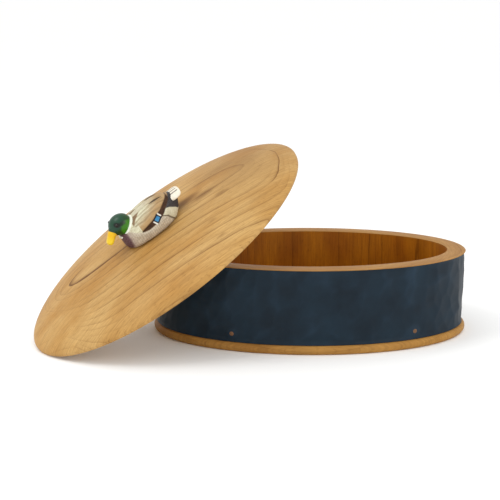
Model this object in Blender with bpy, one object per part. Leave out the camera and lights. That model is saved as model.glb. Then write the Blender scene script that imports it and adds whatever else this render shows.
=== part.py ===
"""Oval wooden box with a loose lid and a carved mallard drake for a handle.

The box stands on the XY plane, its long axis along X, with the origin at the centre of its underside.
The lid lies off the box: its low end is on the table at -X and its underside leans on the rim.
Run with: blender --background --python part.py
"""

import math

import bmesh
import bpy
from mathutils import Matrix, Vector

MM = 0.001
GAP = 0.3 * MM  # between pieces that touch on the real object

# The oval that the base board and the lid are both sawn to
HALF_LENGTH = 150 * MM
HALF_WIDTH = 97.2 * MM
OVAL_SIDES = 72

# Base board: a lip that shows all round, and a raised middle that the wall fits over
LIP_HEIGHT = 8.3 * MM
LIP_FALL = 0.1 * MM  # the lip's top slopes down this much to its edge
NOSE_DEPTH = 3 * MM  # how far the lip's rounded edge reaches in
NOSE_STEPS = 3  # facets in each quarter of the rounded edge
BASE_HEIGHT = 22.2 * MM
PLUG_EASE = 0.4 * MM  # between the raised middle and the wall
PLUG_CHAMFER = 0.8 * MM

# Box wall: one thick oval ring, a little narrower at the foot
WALL_TOP = 78 * MM
WALL_INSET_TOP = 1.2 * MM  # from the oval in to the wall's outer face
WALL_INSET_FOOT = 2.7 * MM
WALL_INSET_INSIDE = 19 * MM
RIM_CHAMFER = 0.8 * MM
RIM_CHAMFER_INSIDE = 0.4 * MM

# Pegs through the wall into the base board's raised middle
PEG_RADIUS = 2.4 * MM
PEG_LENGTH = 29 * MM
PEG_PROUD = 0.5 * MM
PEG_HEIGHT = 16.2 * MM
PEG_DOME = 0.8 * MM
PEG_SIDES = 16
PEG_ANGLES = {  # where each peg stands round the oval, as the angle of the ellipse
    "peg_front_left": -120,
    "peg_front_right": -51,
    "peg_back_left": 120,
    "peg_back_right": 51,
}

# Lid board: a thin edge under a crown that is almost flat in the middle
LID_EDGE = 3 * MM
LID_EDGE_ROUND = 1 * MM
LID_CROWN = 22.4 * MM
CROWN_POWER = 2.4  # how long the crown stays flat on its way out
CROWN_ROUND = 0.7  # below 1 the crown rounds over where it meets the edge
CROWN_RINGS = 7
CROWN_REACH = 0.94  # share of the way to the middle that the rings cover

# Liner: the board under the lid that drops into the wall's opening
LINER_HEIGHT = 4.4 * MM
LINER_EASE = 1.0 * MM
LINER_CHAMFER = 1.2 * MM

# How the lid leans: the turn of its frame, and where the centre of its underside is
LID_YAW = math.radians(20.95)
LID_TILT = math.radians(-34.85)
LID_ROLL = math.radians(8.05)
LID_AT = Vector((-134.5, -35.3, 85.95)) * MM

# Screws from below through liner and lid into the duck, along the lid's long axis
SCREW_PLACES = {"duck_screw_front": -9 * MM, "duck_screw_rear": 15 * MM}
SCREW_HEAD_RADIUS = 3.5 * MM
SCREW_HEAD_HEIGHT = 2.2 * MM
SCREW_HEAD_SLOPE = 0.3 * MM
SCREW_SHANK_RADIUS = 1.6 * MM
SCREW_HEAD_SEAT = 4 * MM  # height of the counterbore's floor above the lid's underside
SCREW_TIP = 34 * MM
SCREW_POINT = 5 * MM
COUNTERBORE_RADIUS = 4.3 * MM
SLOT_WIDTH = 0.9 * MM
SLOT_DEPTH = 0.9 * MM

# Duck, in the lid's frame: -X is the way it faces, and Z counts from the lid's underside
LID_TOP = LID_EDGE + LID_CROWN
DUCK_FLOOR = LID_TOP + GAP
DUCK_SIDES = 24
DUCK_STATIONS = (  # along X: place, half width, lowest, highest, in millimetres
    (-29.2, 4, 30.5, 36),
    (-27.8, 10, 26, 40.5),
    (-22.0, 15.8, 23.3, 44.6),
    (-12.0, 19.8, 22.6, 48.2),
    (0.0, 21.2, 22.5, 50),
    (12.0, 20.2, 22.5, 50),
    (21.0, 15.7, 23, 48.4),
    (27.0, 11.1, 26, 46),
    (31.0, 9.0, 33, 44),
    (36.0, 10.0, 38.6, 43.5),
    (39.5, 7.0, 40.3, 43.1),
)
BEAM_SHARE = 0.42  # how high up each section it is widest
NECK_SHELF = 42.5 * MM  # height of the flat that the head and neck stand on
NECK_SHELF_AT = Vector((-23.5, 0, 0)) * MM
NECK_SHELF_RADIUS = 12 * MM
NECK_AT = Vector((-21.5, 0, 0)) * MM
NECK_RADIUS = 9.2 * MM
NECK_TOP_RADIUS = 8 * MM

HEAD_AT = Vector((-24, 0, 49.5)) * MM
HEAD_HALF = Vector((11.3, 9.5, 11)) * MM
HEAD_TURN = math.radians(9.5)
HEAD_SIDES = 24
BILL_SIDES = 12
BILL_STATIONS = (  # from the head's centre: forward, height, half width, half thickness, in mm
    (-6.0, -1.0, 3.6, 4.0),
    (-9.5, -2.4, 4.4, 4.0),
    (-12.0, -4.0, 4.6, 3.2),
    (-14.4, -5.9, 4.9, 2.6),
    (-17.0, -8.0, 4.6, 1.9),
)

DOWEL_RADIUS = 2 * MM
DOWEL_FOOT = 35 * MM
DOWEL_TOP = 49 * MM

# Eyes: two glass beads on the ends of one wire that runs through the head
EYES_AT = Vector((-28, 0, 53.5)) * MM
EYE_WIRE_RADIUS = 0.6 * MM
EYE_BEAD_RADIUS = 1.6 * MM
EYE_BEAD_AT = 7.4 * MM
EYE_SIDES = 16
EYE_STEPS = 6

# Search range for the follower's turn in the pair of hinges that carries the lid
LEVEL_TURN_LOW = math.radians(-135)
LEVEL_TURN_HIGH = math.radians(-110)


def clear_scene():
    for old in list(bpy.data.objects):
        bpy.data.objects.remove(old, do_unlink=True)


def finish(name, colour, roughness, metallic=0.0):
    """A Principled material in one colour."""
    made = bpy.data.materials.new(name)
    made.use_nodes = True
    shader = made.node_tree.nodes["Principled BSDF"]
    shader.inputs["Base Color"].default_value = (*colour, 1)
    shader.inputs["Roughness"].default_value = roughness
    shader.inputs["Metallic"].default_value = metallic
    return made


def piece(name, bm, material=None, parent=None, at=(0, 0, 0)):
    """Turns a bmesh into an object with outward faces and smooth round parts."""
    bmesh.ops.recalc_face_normals(bm, faces=bm.faces)
    mesh = bpy.data.meshes.new(name)
    bm.to_mesh(mesh)
    bm.free()
    mesh.shade_smooth()
    mesh.set_sharp_from_angle(angle=math.radians(35))
    if material:
        mesh.materials.append(material)
    made = bpy.data.objects.new(name, mesh)
    bpy.context.collection.objects.link(made)
    made.parent = parent
    made.location = at
    return made


def cutter(name, bm, parent=None, at=(0, 0, 0)):
    made = piece(name, bm, parent=parent, at=at)
    made.hide_render = True
    made.display_type = "WIRE"
    return made


def boolean(made, other, operation="DIFFERENCE"):
    modifier = made.modifiers.new(f"{operation.lower()}_{other.name}", "BOOLEAN")
    modifier.operation = operation
    modifier.object = other
    modifier.solver = "EXACT"


def empty(name, matrix, parent=None):
    made = bpy.data.objects.new(name, None)
    bpy.context.collection.objects.link(made)
    made.parent = parent
    made.matrix_parent_inverse = parent.matrix_world.inverted() if parent else Matrix()
    made.matrix_world = matrix
    return made


def loop(bm, points):
    """A closed loop of edges through the points."""
    corners = [bm.verts.new(point) for point in points]
    return [bm.edges.new((a, b)) for a, b in zip(corners, corners[1:] + corners[:1])]


def skin(bm, loops, capped=True):
    """Bridges each loop to the next, then caps both ends or joins the last to the first."""
    pairs = list(zip(loops, loops[1:]))
    if not capped:
        pairs.append((loops[-1], loops[0]))
    for a, b in pairs:
        bmesh.ops.bridge_loops(bm, edges=a + b)
    if capped:
        for end in (loops[0], loops[-1]):
            bmesh.ops.contextual_create(bm, geom=end)


def on_oval(angle, inset):
    """A point on the oval, moved in along its normal, and that outward normal."""
    x, y = math.cos(angle), math.sin(angle)
    normal = Vector((x / HALF_LENGTH, y / HALF_WIDTH, 0)).normalized()
    return Vector((x * HALF_LENGTH, y * HALF_WIDTH, 0)) - normal * inset, normal


def oval(bm, inset, z, share=1.0):
    """The oval as a loop of edges at height z, moved in by inset and shrunk to a share of its size."""
    points = []
    for i in range(OVAL_SIDES):
        point = on_oval(2 * math.pi * i / OVAL_SIDES, inset)[0] * share
        points.append((point.x, point.y, z))
    return loop(bm, points)


def cylinder(bm, radius, low, high, at=(0, 0), top_radius=None, sides=PEG_SIDES):
    """An upright cylinder or cone between two heights."""
    middle = Matrix.Translation((at[0], at[1], (low + high) / 2))
    top = radius if top_radius is None else top_radius
    return bmesh.ops.create_cone(
        bm, cap_ends=True, segments=sides, radius1=radius, radius2=top, depth=high - low, matrix=middle
    )["verts"]


def base_board(wood):
    bm = bmesh.new()
    loops = []
    half = (LIP_HEIGHT - LIP_FALL) / 2
    for i in range(2 * NOSE_STEPS + 1):
        turn = math.pi * (i / (2 * NOSE_STEPS) - 0.5)
        loops.append(oval(bm, NOSE_DEPTH * (1 - math.cos(turn)), half + half * math.sin(turn)))
    plug = WALL_INSET_INSIDE + PLUG_EASE
    loops.append(oval(bm, plug, LIP_HEIGHT))
    loops.append(oval(bm, plug, BASE_HEIGHT - PLUG_CHAMFER))
    loops.append(oval(bm, plug + PLUG_CHAMFER, BASE_HEIGHT))
    skin(bm, loops)
    return piece("base_board", bm, wood)


def box_wall(paint):
    foot = LIP_HEIGHT + GAP
    profile = (
        (WALL_INSET_FOOT, foot),
        (WALL_INSET_TOP, WALL_TOP - RIM_CHAMFER),
        (WALL_INSET_TOP + RIM_CHAMFER, WALL_TOP),
        (WALL_INSET_INSIDE - RIM_CHAMFER_INSIDE, WALL_TOP),
        (WALL_INSET_INSIDE, WALL_TOP - RIM_CHAMFER_INSIDE),
        (WALL_INSET_INSIDE, foot),
    )
    bm = bmesh.new()
    skin(bm, [oval(bm, inset, z) for inset, z in profile], capped=False)
    return piece("box_wall", bm, paint)


def wall_inset(z):
    """How far the wall's outer face is inside the oval at a height."""
    share = (z - LIP_HEIGHT) / (WALL_TOP - LIP_HEIGHT)
    return WALL_INSET_FOOT + share * (WALL_INSET_TOP - WALL_INSET_FOOT)


def pegs(wood, drilled):
    """Each peg points out of the wall. Its bore is cut from the wall and from the base board."""
    for name, degrees in PEG_ANGLES.items():
        face, normal = on_oval(math.radians(degrees), wall_inset(PEG_HEIGHT))
        face.z = PEG_HEIGHT
        bm = bmesh.new()
        corners = cylinder(bm, PEG_RADIUS, -PEG_LENGTH + PEG_PROUD, PEG_PROUD)
        outer = [e for e in bm.edges if all(v.co.z > 0 for v in e.verts)]
        bmesh.ops.bevel(
            bm, geom=outer, offset=PEG_DOME, segments=3, profile=0.5, affect="EDGES", material=-1
        )
        made = piece(name, bm, wood, at=face)
        bore = bmesh.new()
        cylinder(bore, PEG_RADIUS + GAP, -PEG_LENGTH, 4 * PEG_PROUD)
        hole = cutter(f"{name}_bore", bore, at=face)
        for turned in (made, hole):
            turned.rotation_mode = "QUATERNION"
            turned.rotation_quaternion = normal.to_track_quat("Z", "Y")
        for board in drilled:
            boolean(board, hole)


def lid_board(wood, hinge):
    bm = bmesh.new()
    loops = [
        oval(bm, LID_EDGE_ROUND, 0),
        oval(bm, LID_EDGE_ROUND * 0.25, LID_EDGE * 0.25),
        oval(bm, 0, LID_EDGE * 0.6),
    ]
    for i in range(CROWN_RINGS + 1):
        # The rings crowd towards the edge, where the crown turns quickest
        share = 1 - CROWN_REACH * (i / CROWN_RINGS) ** 2
        rise = max(0, 1 - share**CROWN_POWER) ** CROWN_ROUND
        loops.append(oval(bm, 0, LID_EDGE + LID_CROWN * rise, share))
    skin(bm, loops)
    return piece("lid_board", bm, wood, hinge, -EYES_AT)


def lid_liner(wood, hinge):
    bm = bmesh.new()
    inset = WALL_INSET_INSIDE + LINER_EASE
    foot = -GAP - LINER_HEIGHT
    loops = [oval(bm, inset + LINER_CHAMFER, foot), oval(bm, inset, foot + LINER_CHAMFER), oval(bm, inset, -GAP)]
    skin(bm, loops)
    return piece("lid_liner", bm, wood, hinge, -EYES_AT)


def cut_flat(bm, z):
    """Removes what is below a height and closes the cut."""
    everything = bm.verts[:] + bm.edges[:] + bm.faces[:]
    cut = bmesh.ops.bisect_plane(
        bm, geom=everything, plane_co=(0, 0, z), plane_no=(0, 0, -1), clear_outer=True
    )
    bmesh.ops.holes_fill(bm, edges=[e for e in cut["geom_cut"] if isinstance(e, bmesh.types.BMEdge)])


def duck_section(bm, x, half_width, low, high):
    """One slice across the duck: rounded above its widest line, and fuller below it."""
    beam = low + BEAM_SHARE * (high - low)
    points = []
    for i in range(DUCK_SIDES):
        turn = 2 * math.pi * i / DUCK_SIDES
        across, up = math.cos(turn), math.sin(turn)
        y = half_width * math.copysign(abs(across) ** 0.85, across)
        z = beam + (high - beam) * up if up > 0 else beam - (beam - low) * abs(up) ** 0.7
        points.append(Vector((x, y, z)) * MM)
    return loop(bm, points)


def duck_body(paint, hinge):
    """Carved body and tail, sawn flat underneath, with a flat shelf for the neck."""
    bm = bmesh.new()
    skin(bm, [duck_section(bm, *station) for station in DUCK_STATIONS])
    cut_flat(bm, DUCK_FLOOR)
    made = piece("duck_body", bm, paint, hinge, -EYES_AT)
    shelf = bmesh.new()
    cylinder(shelf, NECK_SHELF_RADIUS, NECK_SHELF, 2 * NECK_SHELF, NECK_SHELF_AT, sides=HEAD_SIDES)
    boolean(made, cutter("neck_shelf_cut", shelf, hinge, -EYES_AT))
    return made


def bill_section(bm, forward, height, half_width, half_thickness):
    points = []
    for i in range(BILL_SIDES):
        turn = 2 * math.pi * i / BILL_SIDES
        up = half_thickness * math.sin(turn)
        points.append(Vector((forward - up * 0.6, half_width * math.cos(turn), height + up)) * MM)
    return loop(bm, points)


def duck_head(paint, hinge):
    """Head, neck and bill carved from one block, turned a little to the duck's left."""
    turn = Matrix.Rotation(HEAD_TURN, 4, "Z")
    bm = bmesh.new()
    bmesh.ops.create_uvsphere(bm, u_segments=HEAD_SIDES, v_segments=HEAD_SIDES // 2, radius=1)
    bmesh.ops.scale(bm, vec=HEAD_HALF, verts=bm.verts)
    bm.transform(Matrix.Translation(HEAD_AT) @ turn)
    cut_flat(bm, NECK_SHELF + GAP)
    made = piece("duck_head", bm, paint, hinge, -EYES_AT)
    neck = bmesh.new()
    cylinder(neck, NECK_RADIUS, NECK_SHELF + GAP, HEAD_AT.z, NECK_AT, NECK_TOP_RADIUS, HEAD_SIDES)
    bill = bmesh.new()
    skin(bill, [bill_section(bill, *station) for station in BILL_STATIONS])
    bill.transform(Matrix.Translation(HEAD_AT) @ turn)
    boolean(made, cutter("neck_shape", neck, hinge, -EYES_AT), "UNION")
    boolean(made, cutter("bill_shape", bill, hinge, -EYES_AT), "UNION")
    return made


def neck_dowel(wood, hinge, drilled):
    bm = bmesh.new()
    cylinder(bm, DOWEL_RADIUS, DOWEL_FOOT, DOWEL_TOP, NECK_AT)
    piece("neck_dowel", bm, wood, hinge, -EYES_AT)
    bore = bmesh.new()
    cylinder(bore, DOWEL_RADIUS + GAP, DOWEL_FOOT - GAP, DOWEL_TOP + GAP, NECK_AT)
    hole = cutter("neck_dowel_bore", bore, hinge, -EYES_AT)
    for block in drilled:
        boolean(block, hole)


def eye_shape(ease):
    """Wire and beads as one turned shape along Y, every radius larger by the ease."""
    bead = EYE_BEAD_RADIUS + ease
    wire = EYE_WIRE_RADIUS + ease
    start = math.asin(wire / bead)
    half = [(bead * math.sin(a), EYE_BEAD_AT - bead * math.cos(a)) for a in
            (start + (math.pi - start) * i / EYE_STEPS for i in range(EYE_STEPS))]
    profile = [(0, -EYE_BEAD_AT - bead)]
    profile += [(r, -y) for r, y in reversed(half)] + half
    profile.append((0, EYE_BEAD_AT + bead))
    bm = bmesh.new()
    corners = [bm.verts.new((r, y, 0)) for r, y in profile]
    edges = [bm.edges.new(pair) for pair in zip(corners, corners[1:])]
    bmesh.ops.spin(
        bm, geom=edges, cent=(0, 0, 0), axis=(0, 1, 0), angle=2 * math.pi, steps=EYE_SIDES, use_merge=True
    )
    bmesh.ops.remove_doubles(bm, verts=bm.verts, dist=0.001 * MM)
    return bm


def duck_screws(brass, hinge, boards, duck):
    """Slotted screws from below. Each head sits in a counterbore through the liner."""
    for name, x in SCREW_PLACES.items():
        at = (x, 0)
        head_top = SCREW_HEAD_SEAT - GAP
        head_low = head_top - SCREW_HEAD_HEIGHT
        bm = bmesh.new()
        profile = (
            (SCREW_HEAD_RADIUS, head_low),
            (SCREW_HEAD_RADIUS, head_top - SCREW_HEAD_SLOPE),
            (SCREW_SHANK_RADIUS, head_top),
            (SCREW_SHANK_RADIUS, SCREW_TIP - SCREW_POINT),
            (SCREW_SHANK_RADIUS / 4, SCREW_TIP),
        )
        rings = []
        for radius, z in profile:
            turns = [2 * math.pi * i / PEG_SIDES for i in range(PEG_SIDES)]
            rings.append(loop(bm, [(x + radius * math.cos(a), radius * math.sin(a), z) for a in turns]))
        skin(bm, rings)
        screw = piece(name, bm, brass, hinge, -EYES_AT)
        slot = bmesh.new()
        bmesh.ops.create_cube(slot, size=1)
        bmesh.ops.scale(slot, vec=(SLOT_WIDTH, 3 * SCREW_HEAD_RADIUS, 2 * SLOT_DEPTH), verts=slot.verts)
        bmesh.ops.translate(slot, vec=(x, 0, head_low), verts=slot.verts)
        boolean(screw, cutter(f"{name}_slot", slot, hinge, -EYES_AT))
        wide = bmesh.new()
        cylinder(wide, COUNTERBORE_RADIUS, -4 * LINER_HEIGHT, SCREW_HEAD_SEAT, at)
        narrow = bmesh.new()
        cylinder(narrow, SCREW_SHANK_RADIUS + GAP, 0, SCREW_TIP + GAP, at)
        wide_cut = cutter(f"{name}_counterbore", wide, hinge, -EYES_AT)
        narrow_cut = cutter(f"{name}_bore", narrow, hinge, -EYES_AT)
        for board in boards:
            boolean(board, wide_cut)
            boolean(board, narrow_cut)
        boolean(duck, narrow_cut)


def lean():
    """The leaning lid's frame in the world."""
    turn = (
        Matrix.Rotation(LID_YAW, 4, "Z") @ Matrix.Rotation(LID_TILT, 4, "Y") @ Matrix.Rotation(LID_ROLL, 4, "X")
    )
    return Matrix.Translation(LID_AT) @ turn


def path_axis(level_turn):
    """The turn that carries the eyes from the leaning to the closed place once the lid has levelled.

    The lid levels by level_turn about the eye wire while the wire itself swings about a fixed axis.
    Returns that axis's direction and angle, and where the eyes start and end.
    """
    leaning = lean()
    wire = (leaning.to_3x3() @ Matrix.Rotation(HEAD_TURN, 3, "Z")) @ Vector((0, 1, 0))
    level = Matrix.Rotation(level_turn, 3, wire)
    swing = (leaning.to_3x3().inverted() @ level.inverted()).to_quaternion()
    start = leaning @ EYES_AT
    end = EYES_AT + Vector((0, 0, WALL_TOP + GAP))
    return swing.axis, swing.angle, start, end


def path_hinge():
    """Finds the level turn whose swing is a pure turn, with no slide along its axis, and its centre."""
    low, high = LEVEL_TURN_LOW, LEVEL_TURN_HIGH

    def slide(turn):
        axis, _, start, end = path_axis(turn)
        return axis.dot(end - start)

    for _ in range(60):
        middle = (low + high) / 2
        if slide(low) * slide(middle) <= 0:
            high = middle
        else:
            low = middle
    axis, angle, start, end = path_axis(low)
    centre = (start + end) / 2 + axis.cross(end - start) / (2 * math.tan(angle / 2))
    return low, axis, angle, centre


def main():
    clear_scene()
    cherry = finish("oiled_cherry", (0.58, 0.33, 0.14), 0.45)
    navy = finish("navy_milk_paint", (0.016, 0.026, 0.040), 0.6)
    peg_wood = finish("peg_dowel", (0.27, 0.12, 0.06), 0.5)
    drake = finish("painted_plumage", (0.50, 0.46, 0.38), 0.6)
    green = finish("green_head_paint", (0.02, 0.13, 0.04), 0.3)
    brass = finish("brass", (0.78, 0.58, 0.25), 0.3, 1.0)
    glass = finish("black_glass", (0.01, 0.008, 0.006), 0.05)
    birch = finish("birch_dowel", (0.66, 0.50, 0.32), 0.6)

    base = base_board(cherry)
    wall = box_wall(navy)
    pegs(peg_wood, (base, wall))

    _, axis, _, centre = path_hinge()
    leaning = lean()
    turned = axis.to_track_quat("Z", "Y").to_matrix().to_4x4()
    swing = empty("lid_path_hinge", Matrix.Translation(centre) @ turned)
    bpy.context.view_layer.update()
    hinge = empty("lid_level_hinge", leaning @ Matrix.Translation(EYES_AT), swing)

    board = lid_board(cherry, hinge)
    liner = lid_liner(cherry, hinge)
    duck = duck_body(drake, hinge)
    head = duck_head(green, hinge)
    neck_dowel(birch, hinge, (duck, head))
    duck_screws(brass, hinge, (board, liner), duck)
    eyes = piece("duck_eyes", eye_shape(0), glass, hinge)
    sockets = cutter("eye_sockets", eye_shape(GAP), hinge)
    for turned_piece in (eyes, sockets):
        turned_piece.rotation_euler = (0, 0, HEAD_TURN)
    boolean(head, sockets)


main()
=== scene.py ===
# %% [markdown]
# # An oval keepsake box with a mallard on its lid
# The box is sawn and carved from wood: a thick oval wall under dark milk paint, a base board with a
# rounded lip, and a loose crowned lid. A small carved and painted drake is the lid's handle.
# The measured model comes in as a fixed frame. Each piece below stands for one of its nodes, apart from
# the drake's collar, bill and tail, which are pieces of their own only here.

# %% Load the frame
import math

import bmesh
import bpy
from mathutils import Matrix, Vector, noise


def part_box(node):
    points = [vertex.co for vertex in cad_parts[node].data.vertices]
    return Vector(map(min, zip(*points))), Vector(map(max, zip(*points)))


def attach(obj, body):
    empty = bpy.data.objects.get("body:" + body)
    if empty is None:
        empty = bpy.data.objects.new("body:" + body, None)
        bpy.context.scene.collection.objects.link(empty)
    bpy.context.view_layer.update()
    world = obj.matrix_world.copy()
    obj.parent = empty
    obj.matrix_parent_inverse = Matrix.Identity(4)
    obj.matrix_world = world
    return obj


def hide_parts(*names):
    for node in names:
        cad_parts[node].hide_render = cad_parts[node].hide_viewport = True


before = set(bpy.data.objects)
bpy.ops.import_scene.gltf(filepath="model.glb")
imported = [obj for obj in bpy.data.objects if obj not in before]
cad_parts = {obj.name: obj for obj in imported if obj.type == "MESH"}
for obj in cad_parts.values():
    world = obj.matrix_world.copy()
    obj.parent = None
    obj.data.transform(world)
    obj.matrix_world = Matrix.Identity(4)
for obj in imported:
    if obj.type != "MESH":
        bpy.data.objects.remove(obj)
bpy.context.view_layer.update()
MM = 0.001
scene = bpy.context.scene

# %% [markdown]
# ## Sizes
# Every oval here is one ellipse, moved in along its own normal: the lip, the wall's two faces and the
# lid. Its two half lengths are set here, and the wall's heights come from the frame. The lid has a frame
# of its own, which leans. The drake and the grain of the lid are worked out in that frame, in millimetres,
# and then carried to where the lid leans.

# %% Shared sizes
HALF_LENGTH = 150
HALF_WIDTH = 97.2
WALL_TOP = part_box("box_wall")[1].z / MM
WALL_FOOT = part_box("box_wall")[0].z / MM
LIP_TOP = 8.3
BASE_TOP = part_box("base_board")[1].z / MM
LEAN_ANGLES = (20.95, -34.85, 8.05)  # how the leaning lid is yawed, tilted and rolled, in degrees
LEAN_PLACE = Vector((-134.5, -35.3, 85.95)) * MM  # the middle of the lid's underside
yaw, tilt, roll = (math.radians(a) for a in LEAN_ANGLES)
LEAN = (
    Matrix.Translation(LEAN_PLACE)
    @ Matrix.Rotation(yaw, 4, "Z")
    @ Matrix.Rotation(tilt, 4, "Y")
    @ Matrix.Rotation(roll, 4, "X")
)
print("oval", 2 * HALF_LENGTH, "x", 2 * HALF_WIDTH, "mm, wall top at", round(WALL_TOP, 1), "mm")

# %% [markdown]
# ## Helpers
# The first helpers are for materials. They turn a hex colour into the linear numbers that a shader takes,
# add a shader node with its settings and links, and blend two colours. The others are for shapes. Almost
# every board here is a stack of oval rings, so one makes a ring and one bridges a stack of them. Drawing
# each face by hand would need far more code and is easy to get wrong. The last helper turns a finished
# bmesh into a piece that rides on its body.


# %% Colour and node helpers
def to_linear(hex_colour):
    """An sRGB hex value as linear red, green, blue and an alpha of 1."""
    shares = [int(hex_colour[i : i + 2], 16) / 255 for i in (1, 3, 5)]
    return (*(s / 12.92 if s <= 0.04045 else ((s + 0.055) / 1.055) ** 2.4 for s in shares), 1)


def add_node(tree, kind, links=(), **settings):
    """Adds a node. A setting names an attribute, or an input by its name or number after 'in_'."""
    made = tree.nodes.new("ShaderNode" + kind)
    for key, value in settings.items():
        if key.startswith("in_"):
            slot = key[3:].replace("_", " ")
            made.inputs[int(slot) if slot.isdigit() else slot].default_value = value
        else:
            setattr(made, key, value)
    for source, target in links:
        tree.links.new(source, made.inputs[target])
    return made


def blend_colours(tree, share, below, above):
    """Two colours, or colour outputs, mixed by a share."""
    mix = add_node(tree, "Mix", [(share, 0)], data_type="RGBA")
    for slot, colour in ((6, below), (7, above)):
        if isinstance(colour, str):
            mix.inputs[slot].default_value = to_linear(colour)
        else:
            tree.links.new(colour, mix.inputs[slot])
    return mix.outputs[2]


def new_material(name, roughness, **settings):
    """A material with one Principled shader, and that shader."""
    made = bpy.data.materials.new(name)
    made.use_nodes = True
    shader = made.node_tree.nodes["Principled BSDF"]
    shader.inputs["Roughness"].default_value = roughness
    for key, value in settings.items():
        shader.inputs[key.replace("_", " ")].default_value = value
    return made, made.node_tree, shader


print("mid grey is", round(to_linear("#808080")[0], 3), "in linear light")


# %% Oval helpers
OVAL_STEPS = 192


def smoothly(value, low, high):
    """0 at low and 1 at high, with a soft start and a soft end between them."""
    t = min(max((value - low) / (high - low), 0), 1)
    return t * t * (3 - 2 * t)


def along_oval(angle, inset):
    """A point of the oval in millimetres, moved in along its normal."""
    x, y = math.cos(angle), math.sin(angle)
    normal = Vector((x / HALF_LENGTH, y / HALF_WIDTH, 0)).normalized()
    return Vector((x * HALF_LENGTH, y * HALF_WIDTH, 0)) - normal * inset, normal


def oval_ring(bm, inset, z, share=1.0, steps=OVAL_STEPS):
    """The vertices of a ring of the oval at a height in millimetres."""
    ring = bmesh.ops.create_circle(bm, segments=steps, radius=1)["verts"]
    for v in ring:
        angle = math.atan2(v.co.y, v.co.x)
        v.co = along_oval(angle, inset)[0] * share
        v.co.z = z
    return ring


def ring_edges(ring):
    """The edges that join the vertices of one ring."""
    inside = set(ring)
    return list({e for v in ring for e in v.link_edges if e.other_vert(v) in inside})


def loft(bm, rings, closed=False):
    """Bridges each ring to the next. An open stack is capped, and a closed one runs back to its start."""
    loops = [ring_edges(ring) for ring in rings]
    pairs = list(zip(loops, loops[1:]))
    if closed:
        pairs.append((loops[-1], loops[0]))
    made = [bmesh.ops.bridge_loops(bm, edges=a + b)["faces"] for a, b in pairs]
    if not closed:
        for end in (loops[0], loops[-1]):
            bmesh.ops.contextual_create(bm, geom=end)
    return made


corners = [along_oval(math.tau * i / OVAL_STEPS, 0)[0] for i in range(OVAL_STEPS + 1)]
print("once round the oval is", round(sum((b - a).length for a, b in zip(corners, corners[1:]))), "mm")


# %% Cutting and finishing helpers
def cut_away(bm, cutter_bm):
    """Cuts one bmesh away from another and gives back what is left."""
    whole, cutter = (bpy.data.objects.new("blank", bpy.data.meshes.new("blank")) for _ in range(2))
    for blank, shape in ((whole, bm), (cutter, cutter_bm)):
        bmesh.ops.recalc_face_normals(shape, faces=shape.faces)
        shape.to_mesh(blank.data)
        shape.free()
        scene.collection.objects.link(blank)
    cut = whole.modifiers.new("cut", "BOOLEAN")
    cut.operation = "DIFFERENCE"
    cut.solver = "EXACT"
    cut.object = cutter
    left = bmesh.new()
    left.from_object(whole, bpy.context.evaluated_depsgraph_get())
    for blank in (whole, cutter):
        bpy.data.objects.remove(blank)
    return left


def make_piece(name, bm, materials, body, nodes=(), place=None, sharp=40):
    """Turns a bmesh in millimetres into a piece that rides on a body and stands for CAD nodes."""
    bm.transform(Matrix.Scale(MM, 4))
    if place:
        bm.transform(place)
    bmesh.ops.recalc_face_normals(bm, faces=bm.faces)
    mesh = bpy.data.meshes.new(name)
    bm.to_mesh(mesh)
    bm.free()
    mesh.shade_smooth()
    mesh.set_sharp_from_angle(angle=math.radians(sharp))
    for material in materials:
        mesh.materials.append(material)
    made = bpy.data.objects.new(name, mesh)
    scene.collection.objects.link(made)
    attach(made, body)
    if nodes:
        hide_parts(*nodes)
    print(name, len(mesh.polygons), "faces")


# %% [markdown]
# ## Camera, floor and light
# The camera stands a little above the box, far enough away that the oval hardly narrows. The floor is
# pale and plain. A bright even sky does most of the work, as a light tent does. A large lamp from the upper
# left gives the crown and the drake their soft shadows, and one from the right fills them a little.

# %% Camera, floor and lamps
scene.view_settings.view_transform = "Standard"
camera_data = bpy.data.cameras.new("camera")
camera_data.lens = 90.84
camera_data.clip_end = 100
camera = bpy.data.objects.new("camera", camera_data)
camera.location = (-0.0574, -1.1813, 0.3385)
camera.rotation_euler = (math.radians(77.455), 0, 0)
scene.collection.objects.link(camera)
scene.camera = camera

floor_material, _, floor_shader = new_material("pale_floor", 0.9)
floor_shader.inputs["Base Color"].default_value = to_linear("#FBFBFA")
floor_bm = bmesh.new()
bmesh.ops.create_grid(floor_bm, x_segments=1, y_segments=1, size=30)
floor_mesh = bpy.data.meshes.new("floor")
floor_bm.to_mesh(floor_mesh)
floor_bm.free()
floor_mesh.materials.append(floor_material)
floor = bpy.data.objects.new("floor", floor_mesh)
scene.collection.objects.link(floor)

sky = bpy.data.worlds.new("light_tent")
sky.use_nodes = True
sky.node_tree.nodes["Background"].inputs["Color"].default_value = to_linear("#FFFFFF")
sky.node_tree.nodes["Background"].inputs["Strength"].default_value = 1.04
scene.world = sky

LAMP_AIM = Vector((-0.05, 0, 0.06))


def add_lamp(name, place, size, power):
    """A square lamp, in metres and watts, that faces the box."""
    lamp = bpy.data.lights.new(name, "AREA")
    lamp.size = size
    lamp.energy = power
    made = bpy.data.objects.new(name, lamp)
    made.location = place
    made.rotation_euler = (LAMP_AIM - Vector(place)).to_track_quat("-Z", "Y").to_euler()
    scene.collection.objects.link(made)


add_lamp("key_lamp", (-0.85, -0.35, 1.25), 0.6, 5)
add_lamp("fill_lamp", (1.1, -0.9, 0.7), 0.7, 5)
print("camera at", tuple(round(c, 3) for c in camera.location))

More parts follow.
